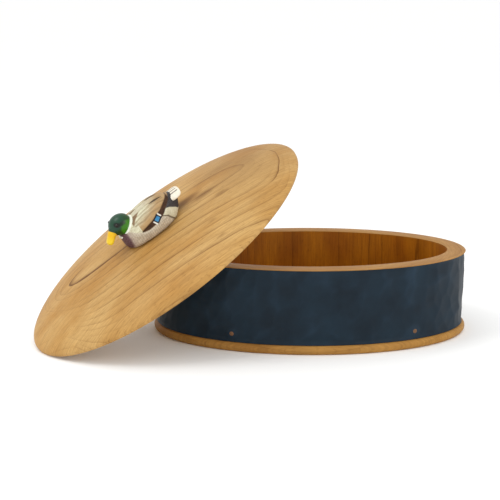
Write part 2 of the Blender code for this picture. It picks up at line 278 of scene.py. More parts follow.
# %% [markdown]
# ## Oiled cherry
# The lid, the base board and the rim are bare cherry under satin oil. Cherry is a quiet wood: a warm
# honey ground, thin darker lines where one year's growth ends, short fine fibres and small dark flecks.
# A board shows nested loops where its face only grazes the rings, and straight lines elsewhere. The oil
# gives it a weak, broad highlight, since its roughness stays near a half.
# Blender's own wave texture could draw rings, but it can't follow fibres that run round a curved rim.
# So each board carries a vector attribute, 'grain': how far along the fibre, how far across it, and how
# many growth rings out. The shader turns the last number into lines and stretches noise along the first.


# %% The cherry material
def wood_finish(name, light, ground, dark, line_share, fibre_mm=1.1, roughness=0.42, shine=0.3):
    """Oiled wood: broad tone, year lines, fibre streaks and flecks, all driven by 'grain'."""
    material, tree, shader = new_material(name, roughness, Specular_IOR_Level=shine)
    grain = add_node(tree, "Attribute", attribute_name="grain")
    parts = add_node(tree, "SeparateXYZ", [(grain.outputs["Vector"], 0)])
    # A slow wander keeps the year lines from looking ruled: 1 unit of noise space is 110 mm along
    slow = add_node(tree, "Mapping", [(grain.outputs["Vector"], 0)], in_Scale=(1 / 110, 1 / 26, 0.3))
    wander = add_node(tree, "TexNoise", [(slow.outputs[0], 0)], in_Scale=1, in_Detail=3, in_Roughness=0.55)
    moved = add_node(
        tree, "Math", [(wander.outputs[0], 0), (parts.outputs[2], 2)], operation="MULTIPLY_ADD", in_1=0.9
    )
    year = add_node(tree, "Math", [(moved.outputs[0], 0)], operation="SUBTRACT", in_1=0.45)
    within = add_node(tree, "Math", [(year.outputs[0], 0)], operation="FRACT")
    # Each year darkens slowly and then ends in a thin late-wood line
    line = add_node(tree, "ValToRGB", [(within.outputs[0], 0)])
    line.color_ramp.elements[0].position = 0.0
    line.color_ramp.elements[0].color = (0.35, 0.35, 0.35, 1)
    line.color_ramp.elements[1].position = 0.08
    line.color_ramp.elements[1].color = (0, 0, 0, 1)
    for position, value in ((0.62, 0.12), (0.9, 0.45), (0.96, 1.0), (1.0, 0.5)):
        stop = line.color_ramp.elements.new(position)
        stop.color = (value, value, value, 1)
    # Some years are strong and some hardly show
    count = add_node(tree, "Math", [(year.outputs[0], 0)], operation="FLOOR")
    chance = add_node(tree, "TexWhiteNoise", [(count.outputs[0], "W")], noise_dimensions="1D")
    patch = add_node(tree, "Mapping", [(grain.outputs["Vector"], 0)], in_Scale=(1 / 45, 1 / 14, 0.2))
    fading = add_node(tree, "TexNoise", [(patch.outputs[0], 0)], in_Scale=1, in_Detail=2)
    chance_here = add_node(
        tree, "Math", [(chance.outputs[0], 0), (fading.outputs[0], 1)], operation="MULTIPLY"
    )
    figure = add_node(tree, "Attribute", attribute_name="figure")
    strength = add_node(
        tree, "Math", [(chance_here.outputs[0], 0), (figure.outputs["Fac"], 1)], operation="ADD"
    )
    inked = add_node(tree, "Math", [(line.outputs[0], 0), (strength.outputs[0], 1)], operation="MULTIPLY")
    inked_share = add_node(
        tree, "Math", [(inked.outputs[0], 0)], operation="MULTIPLY", in_1=line_share, use_clamp=True
    )
    # Fibres: streaks about a millimetre wide and 26 mm long. Real ones are finer than the eye can part
    fibre_map = add_node(tree, "Mapping", [(grain.outputs["Vector"], 0)], in_Scale=(1 / 26, 1 / fibre_mm, 0))
    fibre = add_node(tree, "TexNoise", [(fibre_map.outputs[0], 0)], in_Scale=1, in_Detail=4, in_Roughness=0.6)
    fibre_share = add_node(tree, "MapRange", [(fibre.outputs[0], 0)], in_1=0.3, in_2=0.72, in_3=0, in_4=1)
    tone_map = add_node(tree, "Mapping", [(grain.outputs["Vector"], 0)], in_Scale=(1 / 80, 1 / 30, 0.1))
    tone = add_node(tree, "TexNoise", [(tone_map.outputs[0], 0)], in_Scale=1, in_Detail=2)
    tone_share = add_node(tree, "MapRange", [(tone.outputs[0], 0)], in_1=0.35, in_2=0.65, in_3=0, in_4=1)
    # Flecks: short dark pores. They are a third of a millimetre wide, and drawn 0.8 mm wide to show
    fleck_map = add_node(tree, "Mapping", [(grain.outputs["Vector"], 0)], in_Scale=(1 / 5, 1 / 0.8, 0))
    fleck = add_node(tree, "TexNoise", [(fleck_map.outputs[0], 0)], in_Scale=1, in_Detail=2)
    fleck_share = add_node(tree, "MapRange", [(fleck.outputs[0], 0)], in_1=0.56, in_2=0.78, in_3=0, in_4=0.5)
    colour = blend_colours(tree, tone_share.outputs[0], ground, light)
    half_fibre = add_node(tree, "Math", [(fibre_share.outputs[0], 0)], operation="MULTIPLY", in_1=0.42)
    colour = blend_colours(tree, half_fibre.outputs[0], colour, dark)
    colour = blend_colours(tree, inked_share.outputs[0], colour, dark)
    colour = blend_colours(tree, fleck_share.outputs[0], colour, dark)
    # The lid's smudges, together with a painted shadow behind the drake and painted shade over the high end
    stain = add_node(tree, "Attribute", attribute_name="stain")
    colour = blend_colours(tree, stain.outputs["Fac"], colour, dark)
    tree.links.new(colour, shader.inputs["Base Color"])
    rough = add_node(
        tree, "MapRange", [(fibre.outputs[0], 0)], in_1=0, in_2=1, in_3=roughness - 0.06, in_4=roughness + 0.1
    )
    tree.links.new(rough.outputs[0], shader.inputs["Roughness"])
    bump = add_node(tree, "Bump", [(fibre.outputs[0], "Height")], in_Strength=0.25, in_Distance=0.00015)
    tree.links.new(bump.outputs[0], shader.inputs["Normal"])
    return material


# The lid is the palest. The rim and the base have darkened with handling, and the inside is the deepest
lid_cherry = wood_finish(
    "oiled_cherry_lid", "#D0A869", "#BC8B46", "#6A4216", 0.8, fibre_mm=1.0, roughness=0.48, shine=0.18
)
lip_cherry = wood_finish("oiled_cherry_lip", "#B48646", "#A27238", "#64401C", 0.7, shine=0.05)
inside_cherry = wood_finish(
    "oiled_cherry_inside", "#AE6A10", "#92520A", "#4A2200", 1.3, fibre_mm=1.3, shine=0.1
)
print("woods:", lid_cherry.name, lip_cherry.name, inside_cherry.name)

# %% [markdown]
# ## Base board
# One board sawn to the oval. Its lip is rounded over all the way, and a raised middle fits inside the
# wall. An extruded oval with a bevel would do, but its lip is not quite round. So it is a stack of oval
# rings: up the rounded lip, in under the wall, and up the raised middle.


# %% Base board
def set_grain(bm, rule):
    """Stores (along, across, rings) on every vertex, from a rule on its place in millimetres."""
    layer = bm.verts.layers.float_vector.get("grain") or bm.verts.layers.float_vector.new("grain")
    for v in bm.verts:
        v[layer] = rule(v.co)


def long_grain(co):
    """A board whose fibres run along X and whose heart lies well below it."""
    return Vector((co.x, co.y, math.hypot(co.y + 40, co.z + 90) / 5.5))


NOSE_STEPS = 8
NOSE_DEPTH = 3.2
MIDDLE_INSET = 19.4
bm = bmesh.new()
half = (LIP_TOP - 0.1) / 2
rings = []
for i in range(2 * NOSE_STEPS + 1):
    turn = math.pi * (i / (2 * NOSE_STEPS) - 0.5)
    rings.append(oval_ring(bm, NOSE_DEPTH * (1 - math.cos(turn)), half + half * math.sin(turn)))
for inset, z in ((0, LIP_TOP), (0, BASE_TOP - 0.8), (0.2, BASE_TOP - 0.25), (0.8, BASE_TOP)):
    rings.append(oval_ring(bm, MIDDLE_INSET + inset, z))
loft(bm, rings)
set_grain(bm, long_grain)
make_piece("base_board_rounded", bm, [lip_cherry], "box", ["base_board"])

# %% [markdown]
# ## Milk paint over gouge marks
# The outside of the wall was worked over with a shallow gouge and then painted a blue-black milk paint.
# Milk paint dries dull and slightly uneven. The ridges that hands have rubbed are painted lighter: a painted
# sheen over paint rubbed thin. The marks are real hollows in the mesh. The paint adds its own clouding, a
# fine brushed tooth and that painted sheen.

# %% Milk paint
# Casein paint dries without gloss: a low specular level and a roughness near a half
milk_paint, tree, shader = new_material("navy_milk_paint", 0.5, Specular_IOR_Level=0.16)
place = add_node(tree, "TexCoord")
# Clouds 26 mm wide
cloud = add_node(tree, "TexNoise", [(place.outputs["Object"], 0)], in_Scale=38, in_Detail=4)
cloud_share = add_node(tree, "MapRange", [(cloud.outputs[0], 0)], in_1=0.3, in_2=0.7, in_3=0, in_4=1)
colour = blend_colours(tree, cloud_share.outputs[0], "#0D1A24", "#162733")
# The ridges between the gouge marks are painted lighter: a painted sheen, over paint that hands and cloths
# wear thin
ridge = add_node(tree, "Attribute", attribute_name="ridge")
ridge_sheen_and_wear = add_node(tree, "Math", [(ridge.outputs["Fac"], 0), (cloud_share.outputs[0], 1)], operation="MULTIPLY")
colour = blend_colours(tree, ridge_sheen_and_wear.outputs[0], colour, "#26394A")
tree.links.new(colour, shader.inputs["Base Color"])
# A 1 mm brush tooth
tooth = add_node(tree, "TexNoise", [(place.outputs["Object"], 0)], in_Scale=900, in_Detail=3)
rough = add_node(tree, "MapRange", [(cloud.outputs[0], 0)], in_1=0.3, in_2=0.7, in_3=0.42, in_4=0.58)
tree.links.new(rough.outputs[0], shader.inputs["Roughness"])
bump = add_node(tree, "Bump", [(tooth.outputs[0], "Height")], in_Strength=0.15, in_Distance=0.0001)
tree.links.new(bump.outputs[0], shader.inputs["Normal"])
print("paint:", milk_paint.name, len(tree.nodes), "nodes")

# %% [markdown]
# ## The wall
# A thick oval ring, a little narrower at the foot. Its outer face is a fine grid of oval rings, and
# each point is pushed in by the gouge. A gouge leaves dish after dish with a ridge where two meet, which
# is how far a point is from the nearest of many scattered centres. The rim and the inside are bare, and
# the carving fades out round the four pegs so that their ends stay flush.


# %% The gouge
GOUGE_DEPTH = 2.0
GOUGE_WIDE = 12.5
GOUGE_TALL = 15.5
GOUGE_SLANT = 30


def gouge(co):
    """The share of the gouge's depth that it cut at a place on the wall: 0 on a ridge, 1 in a dish."""
    leaning = co.z / GOUGE_TALL - (co.x - co.y) / GOUGE_SLANT
    spot = Vector((co.x / GOUGE_WIDE, co.y / GOUGE_WIDE, leaning))
    nearest = noise.voronoi(spot)[0]
    dish = 1 - min(1, nearest[0]) ** 2
    return dish * (0.65 + 0.5 * noise.noise(co / 30))


print("the gouge cuts up to", round(GOUGE_DEPTH * gouge(Vector((0, -HALF_WIDTH, 40))), 1), "mm in the front")


# %% Where the wall and its pegs are
def wall_inset(z):
    """How far in from the oval the outside of the wall is at a height. It leans in towards its foot."""
    return 2.7 - 1.5 * (z - LIP_TOP) / (WALL_TOP - LIP_TOP)


PEG_HEIGHT = 16.2
# How far round the oval each peg is
PEG_DEGREES = {"peg_front_left": -120, "peg_front_right": -51, "peg_back_left": 120, "peg_back_right": 51}


def peg_place(degrees):
    """The middle of a peg's end on the wall in millimetres, and the way it points."""
    place, normal = along_oval(math.radians(degrees), wall_inset(PEG_HEIGHT))
    place.z = PEG_HEIGHT
    return place, normal


peg_places = [peg_place(degrees)[0] for degrees in PEG_DEGREES.values()]
print("pegs at", [tuple(round(c) for c in place) for place in peg_places])

# %% The carved wall
ROWS = 52
WALL_STEPS = 576
OPENING_INSET = 19
bm = bmesh.new()
ridge_layer = bm.verts.layers.float.new("ridge")
rings = []
for i in range(ROWS + 1):
    z = WALL_FOOT + (WALL_TOP - 0.7 - WALL_FOOT) * i / ROWS
    ring = oval_ring(bm, wall_inset(z), z, steps=WALL_STEPS)
    fade = min(1, (z - WALL_FOOT) / 3, (WALL_TOP - z) / 2.2)
    for v in ring:
        normal = Vector((v.co.x / HALF_LENGTH**2, v.co.y / HALF_WIDTH**2, 0)).normalized()
        depth = gouge(v.co) * smoothly(min((v.co - peg).length for peg in peg_places), 2.5, 8)
        # How much painted sheen and wear a point of the wall gets: most on the ridges
        v[ridge_layer] = 0.4 * smoothly(depth, 0.5, 0.1)
        v.co -= normal * GOUGE_DEPTH * fade * depth
    rings.append(ring)
last_painted = len(rings) - 1
RIM = (  # inset from the oval, and how far below the wall's top
    (1.35, 0.4), (1.75, 0.08), (2.3, 0.02), (10, 0),
    (OPENING_INSET - 0.6, 0.02), (OPENING_INSET - 0.15, 0.15), (OPENING_INSET, 0.5),
)
for inset, below in RIM:
    rings.append(oval_ring(bm, inset, WALL_TOP - below, steps=WALL_STEPS))
inside = len(rings) - 1
rings.append(oval_ring(bm, OPENING_INSET, WALL_FOOT, steps=WALL_STEPS))
for i, band in enumerate(loft(bm, rings, closed=True)):
    for face in band:
        face.material_index = 0 if i <= last_painted else (2 if i == inside else 1)


MEAN_RADIUS = 123


def wall_grain(co):
    """Fibres run round the rim, and stand upright on the inside of the wall."""
    round_way = abs(math.atan2(co.y / HALF_WIDTH, co.x / HALF_LENGTH)) * MEAN_RADIUS
    if co.z > WALL_TOP - 0.45:
        return Vector((round_way, math.hypot(co.x, co.y), math.hypot(co.x, co.y * 1.5) / 9))
    return Vector((co.z, round_way, round_way / (8 - 4.6 * smoothly(round_way / 190, 0.55, 0.1))))


set_grain(bm, wall_grain)
wall_finishes = [milk_paint, lip_cherry, inside_cherry]
make_piece("carved_wall", bm, wall_finishes, "box", ["box_wall"])

# %% [markdown]
# ## Pegs
# Four dowels pin the wall to the base. Only their ends show: end grain, darker than the boards because
# it drinks more oil, slightly domed and a hair proud. A dowel could be lofted too, but a cylinder with
# its outer edge beveled is shorter and looks the same.

# %% Pegs
peg_end = wood_finish("oiled_peg_end", "#8A6442", "#6E4A2E", "#2C1A10", 0.8, roughness=0.5)
PEG_RADIUS = 2.4
PEG_LENGTH = 29
PEG_PROUD = 0.3
for node, degrees in PEG_DEGREES.items():
    face, normal = peg_place(degrees)
    bm = bmesh.new()
    bmesh.ops.create_cone(
        bm, cap_ends=True, segments=32, radius1=PEG_RADIUS, radius2=PEG_RADIUS, depth=PEG_LENGTH
    )
    outer = [e for e in bm.edges if all(v.co.z > 0 for v in e.verts)]
    bmesh.ops.bevel(bm, geom=outer, offset=1.1, segments=5, profile=0.5, affect="EDGES", material=-1)
    bmesh.ops.translate(bm, vec=(0, 0, PEG_PROUD - PEG_LENGTH / 2), verts=bm.verts)
    set_grain(bm, lambda co: Vector((co.z, co.x, co.to_2d().length * 0.9)))
    place = Matrix.Translation(face * MM) @ normal.to_track_quat("Z", "Y").to_matrix().to_4x4()
    make_piece(node + "_end", bm, [peg_end], "box", [node], place)

# %% [markdown]
# ## Lid
# The lid is one wide board, worked down to a thin edge. Its crown stays almost flat in the middle and
# rounds over near the edge. Sculpting could shape it, but a stack of shrinking ovals whose height follows
# one curve is exact and smooth.
# The crown cuts the growth rings at a shallow angle. That leaves long nested loops in the middle, round
# the drake, and nearly straight lines towards the two long edges.


# %% The crown's curve and its year lines
def crown(share):
    """Height of the lid's top over the share of the way from its middle to its edge."""
    return 3 + 22.4 * max(0, 1 - share**2.4) ** 0.7


def lid_grain(co):
    """The lid's grain: long loops round a heart that runs a little askew and closes at both ends."""
    heart = 13 - 0.134 * co.x
    out = abs(co.x - 6) / 108
    ends = out**7 if out < 1.2 else 3.6 + 8 * (out - 1.2)
    rings = ends + (math.hypot(co.y - heart, 8) / 15.4) ** 1.05
    return Vector((co.x, co.y, 1.7 * rings + 0.3))


def patch_share(co, along, across, half_length, half_width):
    """1 in the middle of a soft oval patch of the lid, and 0 outside it."""
    return max(0, 1 - ((co.x - along) / half_length) ** 2 - ((co.y - across) / half_width) ** 2)


print("the crown is", round(crown(0), 1), "mm high in the middle and", round(crown(0.9), 1), "near the edge")

# %% Bold lines, smudges and painted shadow
# Year lines that are bolder than the rest: along, across, half length, half width, which year, how much
BOLD_LINES = (
    (-58, 9, 44, 12, 2, 3.4),  # the loop at the low end
    (-92, 24, 26, 26, 2, 2.2),
    (76, 4, 44, 24, 2, 1.5),  # the tongue behind the drake
    (124, -14, 34, 50, 7, 2.2),  # the far outer loop
    (-43, 16, 16, 8, 1, 1.2),  # a small loop by the bill
    (0, -42, 130, 40, 6, 0.7),  # and four long lines towards the near edge
    (-20, -60, 110, 30, 9, 0.8),
    (20, -70, 100, 26, 11, 0.7),
    (10, -20, 110, 30, 4, 0.6),
)
# Darker places on the lid, marks in the wood and painted shadow and shade: along, across, half length, half
# width, how dark
SMUDGES_AND_SHADE = (
    (40, 2, 18, 7, 0.75),  # a long dark patch behind the drake, partly a mark in the wood and partly the drake's painted shadow
    (54, -8, 15, 6, 0.6),
    (66, -24, 9, 5, 0.4),
    (36, -74, 6, 2.2, 0.5),  # small bird's-eye marks towards the near edge
    (41, -52, 7, 2.2, 0.45),
    (84, 20, 24, 10, 0.18),
    (110, 6, 20, 14, 0.14),
    (112, 12, 64, 64, 0.3),  # broad painted shade over the high end
    (95, -40, 52, 50, 0.09),
    (20, -30, 60, 14, 0.1),
)
# At both ends the year lines nearly fade out
FAINT_ENDS = ((118, 5, 56, 64), (-128, -12, 40, 56))


def line_boldness(co):
    """How strong the year lines are at a place on the lid."""
    year = lid_grain(co).z
    bold = sum(
        amount * patch_share(co, *patch) * max(0, 1 - abs(year - ring) / 0.7)
        for *patch, ring, amount in BOLD_LINES
    )
    return 0.16 + bold - 0.5 * sum(patch_share(co, *patch) for patch in FAINT_ENDS)


def smudge_and_shade(co):
    """How far a place on the lid is darkened by its smudges and by painted shadow and shade."""
    return sum(amount * patch_share(co, *patch) for *patch, amount in SMUDGES_AND_SHADE)


print(len(BOLD_LINES), "bold lines and", len(SMUDGES_AND_SHADE), "smudges")

# %% [markdown]
# Two screws hold the drake from below, so the lid is drilled for their heads. Rings of vertices could be
# left open for the holes, but a Boolean against a plain cylinder keeps the board simple. The grain is set
# after it, so that the holes' walls have some too.

# %% Lid board
SCREWS_AT = (-9, 15)
SCREW_BORE = 4.3
BORE_TOP = 4
BORE_BELOW = 6  # the drill starts below both boards


def screw_bores():
    """The two holes for the screws' heads, open below and flat on top."""
    bores = bmesh.new()
    for along in SCREWS_AT:
        bmesh.ops.create_cone(
            bores, cap_ends=True, segments=48,
            radius1=SCREW_BORE, radius2=SCREW_BORE, depth=BORE_TOP + BORE_BELOW,
            matrix=Matrix.Translation((along, 0, (BORE_TOP - BORE_BELOW) / 2)),
        )
    return bores


FLAT_RINGS = 6
CROWN_RINGS = 40
bm = bmesh.new()
# The flat underside, from the middle out
rings = [oval_ring(bm, 1.2, 0, 0.02 + 0.98 * i / FLAT_RINGS) for i in range(FLAT_RINGS + 1)]
# The thin rounded edge
for inset, z in ((0.55, 0.2), (0.15, 0.7), (0, 1.4), (0, 2.3)):
    rings.append(oval_ring(bm, inset, z))
# The crown, with its rings closest together near the edge, where it bends the most
for i in range(CROWN_RINGS + 1):
    share = 1 - 0.985 * (i / CROWN_RINGS) ** 1.5
    rings.append(oval_ring(bm, 0, crown(share), share))
loft(bm, rings)
bm = cut_away(bm, screw_bores())
set_grain(bm, lid_grain)
# The second attribute holds the smudges and the painted shadow and shade
for name, rule in (("figure", line_boldness), ("stain", smudge_and_shade)):
    layer = bm.verts.layers.float.new(name)
    for v in bm.verts:
        v[layer] = rule(v.co)
make_piece("lid_crown", bm, [lid_cherry], "lid", ["lid_board"], LEAN)

# %% [markdown]
# ## Liner under the lid
# A thinner oval board under the lid drops into the wall's opening and keeps the lid in place. A step cut
# in the lid would do the same, but it takes thicker stock. The liner is made and drilled as the lid is.

# %% Liner
LINER_INSET = 20
LINER_STEPS = 4
bm = bmesh.new()
shares = [0.02 + 0.98 * i / LINER_STEPS for i in range(LINER_STEPS + 1)]
rings = [oval_ring(bm, LINER_INSET + 1.2, -4.7, share) for share in shares]
for inset, z in ((0.5, -4.5), (0.1, -4), (0, -3.4), (0, -0.3)):
    rings.append(oval_ring(bm, LINER_INSET + inset, z))
loft(bm, rings)
bm = cut_away(bm, screw_bores())
set_grain(bm, long_grain)
make_piece("lid_locating_board", bm, [lid_cherry], "lid", ["lid_liner"], LEAN)

# %% [markdown]
# ## The drake
# The handle is a small carved mallard: one block for the body, one for head and bill, a thin white
# collar between them and a flat tail. A carver rounds the body from a few slices, so the body is a loft
# through slices across it. The slices are blended with one smooth curve, so few numbers give a full
# shape. The drake faces the low end of the lid. Its sizes are in the lid's frame, in millimetres.

# %% Slices and smooth blending
BODY_SLICES = (  # along, half width, lowest, highest
    (-29.8, 1.5, 30.0, 34.5),
    (-28.8, 8.0, 26.6, 39.5),
    (-25.8, 13.0, 24.4, 43.0),
    (-21.0, 16.6, 23.2, 45.0),
    (-12.0, 19.8, 23.0, 48.2),
    (0.0, 21.2, 22.5, 50.0),
    (12.0, 20.2, 22.5, 50.0),
    (21.0, 15.7, 23.0, 48.4),
    (26.4, 11.1, 25.5, 46.2),
    (30.0, 8.2, 29.0, 43.8),
    (32.8, 6.2, 34.0, 41.8),
    (34.4, 2.0, 37.0, 40.5),
)
DUCK_FLOOR = 25.7  # the body is sawn flat here, just above the crown
BEAM_SHARE = 0.42  # how far up a slice it is widest


def smooth_between(rows, at):
    """A row between the given rows, by a curve that runs through them all."""
    last = len(rows) - 2
    place = min(max(at, 0), 0.99999) * (len(rows) - 1)
    i = min(int(place), last)
    t = place - i
    a, b, c, d = (rows[min(max(k, 0), last + 1)] for k in (i - 1, i, i + 1, i + 2))
    return [
        0.5 * (2 * q + (r - p) * t + (2 * p - 5 * q + 4 * r - s) * t * t + (3 * q - p - 3 * r + s) * t**3)
        for p, q, r, s in zip(a, b, c, d)
    ]


def slice_ring(bm, along, half_width, low, high):
    """One slice across the body: a full round back over a fuller belly."""
    beam = low + BEAM_SHARE * (high - low)
    ring = bmesh.ops.create_circle(bm, segments=160, radius=1)["verts"]
    for v in ring:
        across, up = v.co.x, v.co.y
        y = half_width * math.copysign(abs(across) ** 0.86, across)
        z = beam + (high - beam) * up if up > 0 else beam - (beam - low) * abs(up) ** 0.7
        v.co = (along, y, z)
    return ring


def cut_flat(bm, z):
    """Saws off what is below a height, and closes the cut."""
    everything = bm.verts[:] + bm.edges[:] + bm.faces[:]
    cut = bmesh.ops.bisect_plane(
        bm, geom=everything, plane_co=(0, 0, z), plane_no=(0, 0, -1), clear_outer=True
    )
    bmesh.ops.holes_fill(bm, edges=[e for e in cut["geom_cut"] if isinstance(e, bmesh.types.BMEdge)])


print("the drake's body is", round(BODY_SLICES[-1][0] - BODY_SLICES[0][0], 1), "mm long")

# %% [markdown]
# ## How the drake is painted
# A painter lays the plumage on in zones with edges: maroon breast, pale grey flanks, dark wing edge with
# a blue window, black rump, white tail. Colours on the vertices would be the quick way, but their edges
# are only as sharp as the mesh. So each zone is written below as a distance in millimetres from its edge,
# positive inside. The distances are stored on the vertices, and the shader decides how soft each edge is.


# %% Reading edges and lines
def along_table(table, at):
    """Reads the value at a place from a short list of (place, value) pairs."""
    if at <= table[0][0]:
        return table[0][1]
    for (a, low), (b, high) in zip(table, table[1:]):
        if at <= b:
            return low + (high - low) * (at - a) / (b - a)
    return table[-1][1]


# The edges of the zones, as (along, height)
FLANK_TOP = (
    (-22, 42.5), (-17, 39.4), (-12.5, 37.2), (-6, 35.9), (1, 36.3), (9, 37.9), (14.5, 39.6), (18, 41.2)
)
WING_TOP = (
    (-14, 37), (-11.7, 38.6), (-5.4, 40.0), (1, 41.2), (6.4, 42.8), (12.2, 43.7), (18.7, 45.2), (26, 46.2)
)
RUMP_LOW = ((10, 41.4), (17.1, 41.2), (21.5, 38.6), (26.5, 33.2), (28, 30.4), (32, 30))
# And as (aside, along), (height, along) and the corners of a triangle as (along, aside)
RUMP_FRONT = ((0, 28.6), (1.2, 28.2), (8, 26.2), (12.0, 22.6), (15, 19.0), (18.3, 14.5), (22, 11))
VENT_EDGE = ((24, 21), (31.9, 16.6), (35.6, 15.0), (38, 11.6), (42, 8))
SCAPULAR = ((-15.6, 13.0), (-13.4, 2.8), (-2.6, 4.4))


def triangle_depth(x, y, corners):
    """How far a point is inside a triangle, in millimetres."""
    depth = 1e9
    for (ax, ay), (bx, by) in zip(corners, corners[1:] + corners[:1]):
        length = math.hypot(bx - ax, by - ay)
        depth = min(depth, ((bx - ax) * (y - ay) - (by - ay) * (x - ax)) / length)
    return depth


# The long back feathers meet along lines that close in towards the neck and the tail
FEATHER_LINES = (4.2, 8.2, 12.2, 15.8)


def feather_line(x, side):
    """How near a place on the back is to a line between two feathers, positive on the line."""
    if not -15 < x < 22:
        return -3
    spread = 1 - ((x - 1) / 46) ** 2
    gaps = (abs(side - middle * spread - 0.5 * math.sin(x / 3 + middle)) for middle in FEATHER_LINES)
    return 0.5 - min(gaps)


# %% Zones on the body
WINDOW_AT = (5.4, 39.6)
WING_SLOPE = (0.9, 0.43)


def body_zones(co):
    """The distance inside each painted zone, in millimetres, by the zone's name."""
    x, side, z = co.x, abs(co.y), co.z
    flank_top, wing_top = along_table(FLANK_TOP, x), along_table(WING_TOP, x)
    on_rump = min(x - along_table(RUMP_FRONT, side), z - along_table(RUMP_LOW, x) if side > 6 else 9)
    past, above = x - WINDOW_AT[0], z - WINDOW_AT[1]
    along_wing = past * WING_SLOPE[0] + above * WING_SLOPE[1]
    across_wing = above * WING_SLOPE[0] - past * WING_SLOPE[1]
    streak_half = 1.6 * max(0, 1 - abs(x - 14.6) / 7.2) ** 0.6
    return {
        "breast": -24.2 - x + (z - 37) * 0.12 + 0.5 * noise.noise(co / 3),
        "flank": flank_top - z if x < 19 else -3,
        "wing": min(wing_top - z, z - flank_top, x + 12.8, 27 - x),
        "tan": wing_top + 5.5 - z + 0.05 * (x + 5) if x > -12 else -6,
        "streak": streak_half - abs(side - 5.3 + 0.04 * (x - 14)) if streak_half > 0 else -2,
        "scapular": triangle_depth(x, side, SCAPULAR),
        "rump": on_rump,
        "hind": min(x - along_table(VENT_EDGE, z), 41.6 - z),
        "window": min(2.3 - abs(along_wing), 1.7 - abs(across_wing)),
        "bars": min(4.7 - abs(along_wing), abs(along_wing) - 3.4, 2.1 - abs(across_wing)),
        "middle": 3.2 - side,
        "feather": feather_line(x, side) if flank_top < z else -3,
    }


FLANK_SPOT = Vector((0, 20, 38))
print("zones:", {name: round(depth, 1) for name, depth in body_zones(FLANK_SPOT).items()})

# %% [markdown]
# The carver uses acrylic on basswood. It dries with a faint satin, and brushed one thin coat over another
# it shows its strokes. Each zone is one more layer over those before it, as a painter works, so the order
# below is the order of the brush: the ground first, the small marks last.


# %% Plumage paint
def zone(tree, name, soft, reach=1.0):
    """The share of a painted zone at a point: 0 outside its edge and 1 inside."""
    distance = add_node(tree, "Attribute", attribute_name=name)
    share = add_node(
        tree, "MapRange", [(distance.outputs["Fac"], 0)],
        interpolation_type="SMOOTHSTEP", in_1=-soft, in_2=soft, in_3=0, in_4=reach,
    )
    return share.outputs[0]


plumage, tree, shader = new_material("plumage_acrylic_on_basswood", 0.55, Specular_IOR_Level=0.2)
place = add_node(tree, "TexCoord")
turned = add_node(
    tree, "Mapping", [(place.outputs["Object"], 0)], vector_type="TEXTURE",
    in_1=LEAN.translation, in_2=LEAN.to_euler(),
)
# Brushed strokes run along the bird: 1.2 mm wide, 7 mm long
stroke_map = add_node(tree, "Mapping", [(turned.outputs[0], 0)], in_Scale=(1000 / 7, 1000 / 1.2, 1000 / 1.2))
stroke = add_node(tree, "TexNoise", [(stroke_map.outputs[0], 0)], in_Scale=1, in_Detail=3)
stroke_share = add_node(tree, "MapRange", [(stroke.outputs[0], 0)], in_1=0.35, in_2=0.7, in_3=0, in_4=1)
# The flanks are pencilled with fine wavy lines across the bird. Real ones are a third of a millimetre
# apart, and these are drawn 2 mm apart so that they show. A wash over them softens them
pencil = add_node(
    tree, "TexWave", [(turned.outputs[0], 0)], bands_direction="X",
    in_Scale=160, in_Distortion=5, in_Detail=2, in_2=5, in_3=2,
)
colour = blend_colours(tree, stroke_share.outputs[0], "#DAD7BA", "#B6AD8E")
colour = blend_colours(tree, zone(tree, "middle", 2.5, 0.55), colour, "#C6BDA6")
colour = blend_colours(tree, zone(tree, "tan", 3.4, 0.85), colour, "#A57E4C")
colour = blend_colours(tree, zone(tree, "feather", 0.8, 0.6), colour, "#7E6644")
flank_colour = blend_colours(tree, stroke_share.outputs[0], "#CDC1AA", "#A3957E")
pencilled = blend_colours(tree, pencil.outputs["Fac"], flank_colour, "#94877A")
flank_wash = blend_colours(tree, stroke_share.outputs[0], "#CFC3AC", "#B0A28C")
soft_pencil = add_node(tree, "Mix", [(flank_wash, 6), (pencilled, 7)], data_type="RGBA", in_0=0.45)
colour = blend_colours(tree, zone(tree, "flank", 0.35), colour, soft_pencil.outputs[2])
hind_colour = blend_colours(tree, stroke_share.outputs[0], "#D0CAB0", "#BDB597")
colour = blend_colours(tree, zone(tree, "hind", 0.3), colour, hind_colour)
# A thin dark line parts the flank from the pale feathers by the vent
hind = add_node(tree, "Attribute", attribute_name="hind")
vent = add_node(tree, "Math", [(hind.outputs["Fac"], 0)], operation="ABSOLUTE")
vent_line = add_node(tree, "MapRange", [(vent.outputs[0], 0)], in_1=1.2, in_2=0.4, in_3=0, in_4=0.85)
colour = blend_colours(tree, vent_line.outputs[0], colour, "#4E3E28")
# Soft mottling, 4 mm across, keeps the big zones from looking sprayed
mottle = add_node(tree, "TexNoise", [(turned.outputs[0], 0)], in_Scale=250, in_Detail=4, in_Roughness=0.7)
mottle_share = add_node(tree, "MapRange", [(mottle.outputs[0], 0)], in_1=0.45, in_2=0.75, in_3=0, in_4=0.3)
colour = blend_colours(tree, mottle_share.outputs[0], colour, "#7A6850")
breast_colour = blend_colours(tree, stroke_share.outputs[0], "#4B3436", "#6B4C50")
colour = blend_colours(tree, zone(tree, "breast", 6.5, 0.65), colour, "#8A6670")
colour = blend_colours(tree, zone(tree, "breast", 1.5), colour, breast_colour)
colour = blend_colours(tree, zone(tree, "scapular", 0.6, 0.9), colour, "#7A5C3E")
colour = blend_colours(tree, zone(tree, "streak", 0.5, 0.9), colour, "#2E1C10")
wing_colour = blend_colours(tree, stroke_share.outputs[0], "#2E1B0E", "#4C2F18")
colour = blend_colours(tree, zone(tree, "wing", 0.5), colour, wing_colour)
rump_colour = blend_colours(tree, stroke_share.outputs[0], "#2E2A2B", "#45403F")
